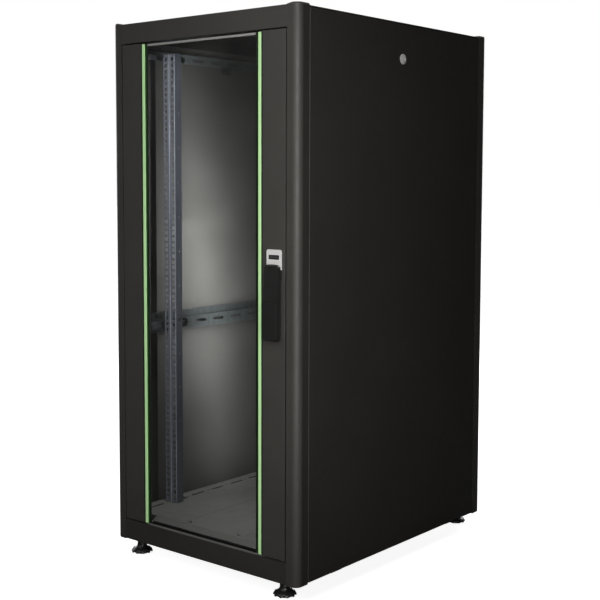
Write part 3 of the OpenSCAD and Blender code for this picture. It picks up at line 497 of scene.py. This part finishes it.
def make_materials():
    frame_colour = (0.034, 0.033, 0.030)
    # A paler grey for the side panels' inner faces: painted light on the inside walls
    inner = (0.095, 0.095, 0.0925)
    panel_colour = (0.020, 0.018, 0.017)
    panel_skin = 0.2992  # just under the outer face of the side panels; deeper than this they get a paler colour, painted light on their inner faces
    door_colour = (0.036, 0.035, 0.032)
    # Near black: painted shade on the stiles' outer flanks, in the gaps beside the door
    gap_shade_colour = (0.005, 0.005, 0.005)
    rail_colour, flange_shade_colour = (0.088, 0.094, 0.113), (0.040, 0.044, 0.055)
    front_rail = mesh_range("rail_front_left", "Y")[0]
    rear_rail = mesh_range("rail_rear_left", "Y")[1]
    base_shade_colour = (0.024, 0.023, 0.0205)
    base_front = mesh_range("fascia_front_base", "Y")[0]
    left_edge = mesh_range("stile_left", "X")[0]
    right_edge = mesh_range("stile_right", "X")[1]
    post_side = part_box("post_front_right")[0].y + 0.0172  # just past the posts' rounding; deeper than this they get a darker colour, painted shade on their sides
    return {
        "frame": powder_coat("frame_powder_coat", frame_colour, 0.46),
        # The front posts' sides, past their rounding, take a darker colour: painted shade
        "front_post": powder_coat("front_post_coat", frame_colour, 0.54, 0.4, (0.017, 0.0155, 0.0145),
                                  ("Y", post_side, post_side + 0.0008)),
        # The stiles' outermost flanks are near black: painted shade in the door gaps
        "left_stile": powder_coat("left_stile_coat", door_colour, 0.46, 0.5, gap_shade_colour,
                                  ("X", left_edge + 0.00015, left_edge + 0.00005)),
        "right_stile": powder_coat("right_stile_coat", door_colour, 0.46, 0.5, gap_shade_colour,
                                   ("X", right_edge - 0.00015, right_edge - 0.00005)),
        "deck": powder_coat("deck_powder_coat", (0.075, 0.074, 0.070), 0.42),
        # The panels' inner faces take the paler grey: painted light
        "left_panel": powder_coat("left_panel_coat", panel_colour, 0.46, 0.4, inner,
                                  ("X", -panel_skin, -panel_skin + 0.0002)),
        "right_panel": powder_coat("right_panel_coat", panel_colour, 0.46, 0.4, inner,
                                   ("X", panel_skin, panel_skin - 0.0002)),
        "rear_door": powder_coat("rear_door_coat", (0.026, 0.025, 0.024), 0.46, 0.4),
        # Past their front face the rails' flanges take a darker colour: painted shade
        "front_rail": coated_steel("front_rail_coat", rail_colour, 0.45, 0.15, flange_shade_colour,
                                   ("Y", front_rail + 0.0022, front_rail + 0.0026)),
        "rear_rail": coated_steel("rear_rail_coat", rail_colour, 0.45, 0.15, flange_shade_colour,
                                  ("Y", rear_rail - 0.0022, rear_rail - 0.0026)),
        # Paler than the rails: painted highlights on the rolled bead and the rolled edge
        "bead": coated_steel("rail_bead_highlight", (0.27, 0.285, 0.33), 0.35, 0.2),
        "crossmember": coated_steel("crossmember_coat", (0.140, 0.162, 0.168), 0.45, 0.2),
        "zinc": zinc_plate("zinc_plate"),
        "plastic": moulded_plastic("moulded_black", (0.012, 0.012, 0.0125), 0.42),
        "lever": moulded_plastic("lever_black", (0.005, 0.005, 0.005), 0.5),
        # The base fascias get a darker copy of the frame's coat: painted shade, darker towards the bottom
        "rear_base": powder_coat("rear_base_coat", base_shade_colour, 0.5),
        # Past its front face the front base fascia takes the decks' paler colour: painted light on its top
        # and inner faces
        "front_base": powder_coat("front_base_coat", base_shade_colour, 0.5, 0.5, (0.075, 0.074, 0.070),
                                  ("Y", base_front + 0.003, base_front + 0.005)),
        "foot_plastic": moulded_plastic("foot_black", (0.012, 0.012, 0.012), 0.35, 700),
        "rubber": rubber("seal_rubber"),
        # The handle plate is black from 45 mm below its top downwards: painted shade behind the lever
        "silver": silver_lacquer("silver_lacquer", painted_shade_below=mesh_range("handle_plate", "Z")[1] - 0.045),
        "chrome": satin_chrome("satin_chrome"),
        "left_lock": side_lock("left_lock_silver", mesh_range("side_lock_left", "X")[0], 1),
        "right_lock": side_lock("right_lock_silver", mesh_range("side_lock_right", "X")[1], -1),
        "badge_bar": moulded_plastic("badge_grey", (0.17, 0.168, 0.165), 0.4),
        "pin": coated_steel("pin_black", (0.012, 0.012, 0.012), 0.5),
        # The lower glass edge profile is black: painted shade, standing in for the dark line at the foot of
        # the glass
        "profile": silver_lacquer("satin_aluminium", (0.50, 0.50, 0.49), 0.4, 0.6,
                                  mesh_range("glass_edge_profiles", "Z")[0] + 0.1),
        "green": green_strip("green_strip", mesh_range("trim_strips", "Y")[0]),
        "green_edge": dark_green_edge("green_strip_edge"),
        "glass": clear_glass("door_glass"),
        "bristle": bristle("bristles"),
    }


NODE_MATERIAL = {
    "frame": ["post_rear_left", "post_rear_right", "post_caps",
              "fascia_front_top", "fascia_rear_top", "roof_panel", "roof_rails", "roof_brush_frame"],
    "deck": ["deck_left", "deck_right", "base_plate", "base_cover"],
    "front_post": ["post_front_left", "post_front_right"],
    "left_stile": ["stile_left"],
    "right_stile": ["stile_right"],
    "left_panel": ["side_panel_left"],
    "right_panel": ["side_panel_right"],
    "rear_door": ["rear_door_panel", "rear_door_stiffeners"],
    "front_rail": ["rail_front_left", "rail_front_right"],
    "rear_rail": ["rail_rear_left", "rail_rear_right"],
    "crossmember": ["crossmembers", "upper_bars"],
    "zinc": ["frame_bolts", "foot_nuts", "strike_plates", "earth_stud", "rail_brackets_front",
             "rail_brackets_rear", "rear_hinge_pins", "latch_tongue", "lever_pin",
             "rear_lock_core"],
    "plastic": ["hinge_bearings", "stile_end_caps", "handle_badge", "handle_hub"],
    "lever": ["lever", "lock_cover"],
    "front_base": ["fascia_front_base"],
    "rear_base": ["fascia_rear_base"],
    "rubber": ["door_seals", "glass_gaskets"],
    "silver": ["handle_plate"],
    "chrome": ["lock_core", "rear_lock_body"],
    "left_lock": ["side_lock_left"],
    "right_lock": ["side_lock_right"],
    "pin": ["front_hinge_pins"],
    "profile": ["glass_edge_profiles"],
    "green": ["trim_strips"],
    "glass": ["door_glass"],
}

# Edge rounding in millimetres and its segments, for nodes whose edges show
EDGE_ROUNDING = {
    "post_front_left": (0.8, 2), "post_front_right": (0.8, 2), "post_rear_left": (0.8, 2),
    "post_rear_right": (0.8, 2), "fascia_front_top": (1.0, 3), "fascia_front_base": (1.0, 3),
    "fascia_rear_top": (1.0, 3), "fascia_rear_base": (1.0, 3), "stile_left": (0.7, 2),
    "stile_right": (0.7, 2), "side_panel_left": (0.55, 2), "side_panel_right": (0.55, 2),
    "rear_door_panel": (0.5, 2), "roof_panel": (0.5, 2), "handle_plate": (0.6, 3),
    "lever": (2.2, 4), "lock_cover": (1.0, 3), "handle_hub": (0.5, 2), "trim_strips": (1.4, 3),
    "door_glass": (0.6, 2), "latch_tongue": (0.4, 2), "strike_plates": (0.3, 2),
    "rail_brackets_front": (0.4, 2), "rail_brackets_rear": (0.4, 2), "crossmembers": (0.3, 2),
    "upper_bars": (0.3, 2), "base_cover": (0.4, 2), "roof_brush_frame": (0.7, 2),
    "frame_bolts": (0.4, 2), "earth_stud": (0.3, 2), "glass_edge_profiles": (0.25, 2),
}


def dress_cad_nodes(materials):
    for key, names in NODE_MATERIAL.items():
        for name in names:
            mesh = nodes[name].data
            mesh.materials.clear()
            mesh.materials.append(materials[key])
    for name, (width, segments) in EDGE_ROUNDING.items():
        round_edges(nodes[name], width, segments)


def round_edges(piece, width, segments):
    """Join the triangles into whole faces, round their edges, and keep the flat faces flat in the shading."""
    mesh = piece.data
    stored = mesh.attributes.get("custom_normal")
    if stored:
        mesh.attributes.remove(stored)
    mesh.shade_smooth()
    weld = piece.modifiers.new("weld", "WELD")
    weld.merge_threshold = 1e-5
    planes = piece.modifiers.new("whole_faces", "DECIMATE")
    planes.decimate_type = "DISSOLVE"
    planes.angle_limit = math.radians(0.4)
    bevel = piece.modifiers.new("edges", "BEVEL")
    bevel.width = width * MM
    bevel.segments = segments
    bevel.limit_method = "ANGLE"
    bevel.angle_limit = math.radians(35)
    bevel.use_clamp_overlap = True
    even = piece.modifiers.new("even_shading", "WEIGHTED_NORMAL")
    even.mode = "FACE_AREA"
    even.weight = 100
    even.keep_sharp = True


# ---------------------------------------------------------------- mesh helpers

def mesh_object(name, verts, faces, material, smooth=True):
    mesh = bpy.data.meshes.new(name)
    mesh.from_pydata([tuple(v) for v in verts], [], faces)
    mesh.materials.append(material)
    if smooth:
        mesh.shade_smooth()
    piece = bpy.data.objects.new(name, mesh)
    bpy.context.scene.collection.objects.link(piece)
    return piece


def grid_faces(rows, columns):
    """Faces of a tube of rows, each a closed ring of columns."""
    faces = []
    for i in range(rows - 1):
        for j in range(columns):
            k = (j + 1) % columns
            faces.append((i * columns + j, i * columns + k, (i + 1) * columns + k, (i + 1) * columns + j))
    return faces


def box_verts(xs, ys, zs):
    """The corners of a box between two values on each axis, in the order that box_faces expects."""
    (x0, x1), (y0, y1) = xs, ys
    return [(x, y, z) for z in zs for x, y in ((x0, y0), (x1, y0), (x1, y1), (x0, y1))]


def box_faces(start=0):
    return [tuple(start + i for i in face) for face in
            ((0, 3, 2, 1), (4, 5, 6, 7), (0, 1, 5, 4), (1, 2, 6, 5), (2, 3, 7, 6), (3, 0, 4, 7))]


# ---------------------------------------------------------------- feet

LOBES = 10
FLUTE_CUT, FLUTE_LIFT = 1.6, 2.6  # how far a flute goes in and up, as multiples of its depth
FLARE_TOP = 9  # the flutes lift the skirt below this height, in millimetres
STEM_RADIUS, THREAD_DEPTH, THREAD_PITCH = 7.2, 0.75, 2.0  # in millimetres


def foot_skirt_mesh(centre, base_z):
    """The fluted skirt of a foot, from the collar at its stem out to the lobes of its rim."""
    columns = LOBES * 12
    # (radius, height, depth of the flutes) in millimetres, from the top of the collar to the underside
    profile = [(8.6, 30, 0), (10.8, 29.4, 0), (11.6, 28, 0), (11.8, 21, 0), (12.8, 17, 0), (15.2, 14.2, 0.3),
               (18.8, 12.0, 0.8), (22.6, 9.8, 1.3), (25.6, 7.2, 1.7), (27.4, 4.2, 1.8), (27.2, 2.0, 1.8),
               (25.2, 1.6, 1.5), (24.2, 3.0, 0.9), (20, 5, 0.2), (8.4, 6, 0)]
    verts = []
    for radius, height, flute in profile:
        for j in range(columns):
            angle = 2 * math.pi * j / columns
            lobe = abs(math.cos(LOBES * angle / 2))
            r = radius - FLUTE_CUT * flute * (1 - lobe)
            lift = FLUTE_LIFT * flute * (1 - lobe) if height < FLARE_TOP else 0
            verts.append((centre[0] + r * MM * math.cos(angle), centre[1] + r * MM * math.sin(angle),
                          base_z + (height + lift) * MM))
    return verts, grid_faces(len(profile), columns)


def foot_pad_mesh(centre, base_z):
    """The rubber pad under the skirt, which stands on the floor."""
    columns = 64
    profile = [(0.01, 5.5), (16, 5.5), (19.2, 3.6), (19.6, 1.2), (19.0, 0), (0.01, 0)]
    verts = [(centre[0] + r * MM * math.cos(2 * math.pi * j / columns),
              centre[1] + r * MM * math.sin(2 * math.pi * j / columns), base_z + z * MM)
             for r, z in profile for j in range(columns)]
    return verts, grid_faces(len(profile), columns)


def foot_stem_mesh(centre, low, high):
    """A stem with a rolled thread."""
    columns, steps = 24, 8
    rows = int((high - low) / MM / THREAD_PITCH * steps)
    verts = []
    for i in range(rows + 1):
        z = low + i * THREAD_PITCH / steps * MM
        for j in range(columns):
            angle = 2 * math.pi * j / columns
            phase = (i / steps - j / columns) % 1
            r = STEM_RADIUS + THREAD_DEPTH * (1 - abs(2 * phase - 1))
            verts.append((centre[0] + r * MM * math.cos(angle), centre[1] + r * MM * math.sin(angle), z))
    faces = grid_faces(rows + 1, columns)
    faces.append(tuple(reversed(range(columns))))
    faces.append(tuple(range(rows * columns, (rows + 1) * columns)))
    return verts, faces


def make_foot(node, body, materials):
    low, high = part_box(node)
    centre = ((low.x + high.x) / 2, (low.y + high.y) / 2)
    stem_from, stem_to = low.z + 0.012, high.z - 0.0005
    parts = [
        ("skirt", foot_skirt_mesh(centre, low.z), materials["foot_plastic"]),
        ("pad", foot_pad_mesh(centre, low.z), materials["rubber"]),
        ("stem", foot_stem_mesh(centre, stem_from, stem_to), materials["zinc"]),
    ]
    for label, (verts, faces), material in parts:
        piece = mesh_object(f"{node}_{label}", verts, faces, material)
        bpy.data.collections["lit_by_corner"].objects.link(piece)
        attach(piece, body)
        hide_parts(node)


def make_feet(materials):
    for place in ("front_left", "front_right", "rear_left", "rear_right"):
        make_foot(f"foot_{place}", f"{place}_foot", materials)


# ---------------------------------------------------------------- roof bristles

def make_bristles(materials):
    """Two rows of nylon bristles that meet at a slit, each a little different in length and lean."""
    low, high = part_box("roof_bristles")
    middle = (low.y + high.y) / 2
    half_slit, pitch = 0.003, 0.0011
    first_layer, layer_gap = 0.0009, 0.0012
    root_half, tip_half, end_margin = 0.0005, 0.00028, 0.0005
    count = int((high.x - low.x) / pitch)
    verts, faces = [], []
    for side in (-1, 1):
        root = high.y if side > 0 else low.y
        for layer in range(2):
            z = high.z - first_layer - layer_gap * layer
            for i in range(count):
                x = low.x + (i + 0.5) * pitch
                tip_y = middle + side * (half_slit + rng.uniform(0.0, 0.0016))
                lean = rng.uniform(-0.0012, 0.0012)
                x_tip = min(max(x + lean, low.x + end_margin), high.x - end_margin)
                drop = rng.uniform(-0.0004, 0.0004)
                start = len(verts)
                for y, cx, w in ((root, x, root_half), (tip_y, x_tip, tip_half)):
                    dz = drop if y == tip_y else 0
                    verts += [(cx - w, y, z - w + dz), (cx + w, y, z - w + dz),
                              (cx + w, y, z + w + dz), (cx - w, y, z + w + dz)]
                faces += box_faces(start)
    piece = mesh_object("roof_bristle_rows", verts, faces, materials["bristle"], smooth=False)
    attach(piece, "carcass")
    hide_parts("roof_bristles")


# ---------------------------------------------------------------- door trim flanges

def make_trim_flanges(materials):
    """Thin dark green flanges beside each pale strip: one on the glass, one over the stile's edge."""
    low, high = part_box("trim_strips")
    glass_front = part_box("door_glass")[0].y
    strip, inner_width, outer_width = 10 * MM, {-1: 5 * MM, 1: 11 * MM}, 3.6 * MM
    inner_t, outer_proud, outer_sunk = 0.0009, 0.0002, 0.0001
    for side, hand in ((-1, "left"), (1, "right")):
        outer = side * high.x
        inner = outer - side * strip
        for label, x0, x1, ys in (
            ("inner", inner - side * inner_width[side], inner, (glass_front - inner_t, glass_front)),
            ("outer", outer, outer + side * outer_width, (low.y - outer_proud, low.y + outer_sunk)),
        ):
            verts = box_verts((min(x0, x1), max(x0, x1)), ys, (low.z, high.z))
            piece = mesh_object(f"trim_flange_{label}_{hand}", verts, box_faces(), materials["green_edge"],
                                smooth=False)
            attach(piece, "front_door")


def make_rail_beads(materials):
    """A rolled bead between the two columns of holes and a rolled edge at the inner corner, both raised and
    both in a paler coat: painted highlights along them.
    """
    # name, distance from the rail's inner edge, half width and height, in metres
    profiles = (("bead", 0.0198, 0.0011, 0.0006), ("edge", 0.0009, 0.0009, 0.0003))
    across, rise = (-1, -0.6, 0, 0.6, 1), (0, 0.8, 1, 0.8, 0)
    end_margin = 0.001
    for place, body, facing in (("front", "front_rails", -1), ("rear", "rear_rails", 1)):
        for hand, side in (("left", -1), ("right", 1)):
            low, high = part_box(f"rail_{place}_{hand}")
            inner = high.x if side < 0 else low.x
            face = low.y if facing < 0 else high.y
            for label, offset, half, proud in profiles:
                x = inner + side * offset
                verts = [(x + half * t, face + facing * proud * r, z)
                         for z in (low.z + end_margin, high.z - end_margin) for t, r in zip(across, rise)]
                faces = [(i, i + 1, i + 6, i + 5) for i in range(4)] + [(4, 0, 5, 9)]
                faces += [(4, 3, 2, 1, 0), (5, 6, 7, 8, 9)]
                if facing > 0:
                    faces = [tuple(reversed(f)) for f in faces]
                piece = mesh_object(f"rail_{place}_{hand}_{label}", verts, faces, materials["bead"],
                                    smooth=False)
                bpy.data.collections["lit_by_rail_front"].objects.link(piece)
                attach(piece, body)


def make_gap_shade_strip(materials):
    """A black lip over the gap between the door's lock side and the post: painted shade, a dark strip
    standing in for the gap's shadow.
    """
    low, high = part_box("stile_right")
    gap_near, gap_far = 0.0004, 0.0034
    proud, depth = 0.0001, 0.002
    verts = box_verts((high.x + gap_near, high.x + gap_far), (low.y - proud, low.y + depth),
                      (low.z, high.z))
    piece = mesh_object("gap_shade_lip", verts, box_faces(), materials["rubber"], smooth=False)
    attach(piece, "carcass")


def make_threshold(materials):
    """The folded lip that slopes from the front edge of the decks down to the base fascia."""
    door_back = max(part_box(name)[1].y for name in ("glass_edge_profiles", "glass_gaskets", "door_glass"))
    deck_low, deck_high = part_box("deck_left")
    door_gap, deck_overlap, above = 0.0008, 0.0006, 0.0002
    half, sheet = 0.188, 0.0012
    foot_y, foot_z = door_back + door_gap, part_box("fascia_front_base")[1].z + above
    edge_y, edge_z = deck_low.y + deck_overlap, deck_high.z + above
    section = ((foot_y, foot_z), (foot_y, foot_z + sheet), (edge_y, edge_z), (edge_y, edge_z - sheet))
    verts = [(x, y, z) for x in (-half, half) for y, z in section]
    faces = [(0, 1, 2, 3), (7, 6, 5, 4), (0, 4, 5, 1), (1, 5, 6, 2), (2, 6, 7, 3), (3, 7, 4, 0)]
    piece = mesh_object("deck_front_lip", verts, faces, materials["deck"], smooth=False)
    bpy.data.collections["lit_by_inner_front"].objects.link(piece)
    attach(piece, "carcass")


def make_badge_bar(materials):
    """A plain raised bar in the middle of the blank badge."""
    low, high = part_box("handle_badge")
    middle = (low.z + high.z) / 2
    half_height, end_margin, proud, sunk = 0.0022, 0.0035, 0.0004, 0.0001
    verts = box_verts((low.x + end_margin, high.x - end_margin), (low.y - proud, low.y + sunk),
                      (middle - half_height, middle + half_height))
    piece = mesh_object("badge_bar", verts, box_faces(), materials["badge_bar"], smooth=False)
    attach(piece, "front_door")


# ---------------------------------------------------------------- build

bpy.context.scene.view_settings.view_transform = "Standard"
add_camera()
add_world()
add_lights()
add_floor()
materials = make_materials()
dress_cad_nodes(materials)
make_feet(materials)
make_bristles(materials)
make_trim_flanges(materials)
make_gap_shade_strip(materials)
make_threshold(materials)
make_badge_bar(materials)
make_rail_beads(materials)
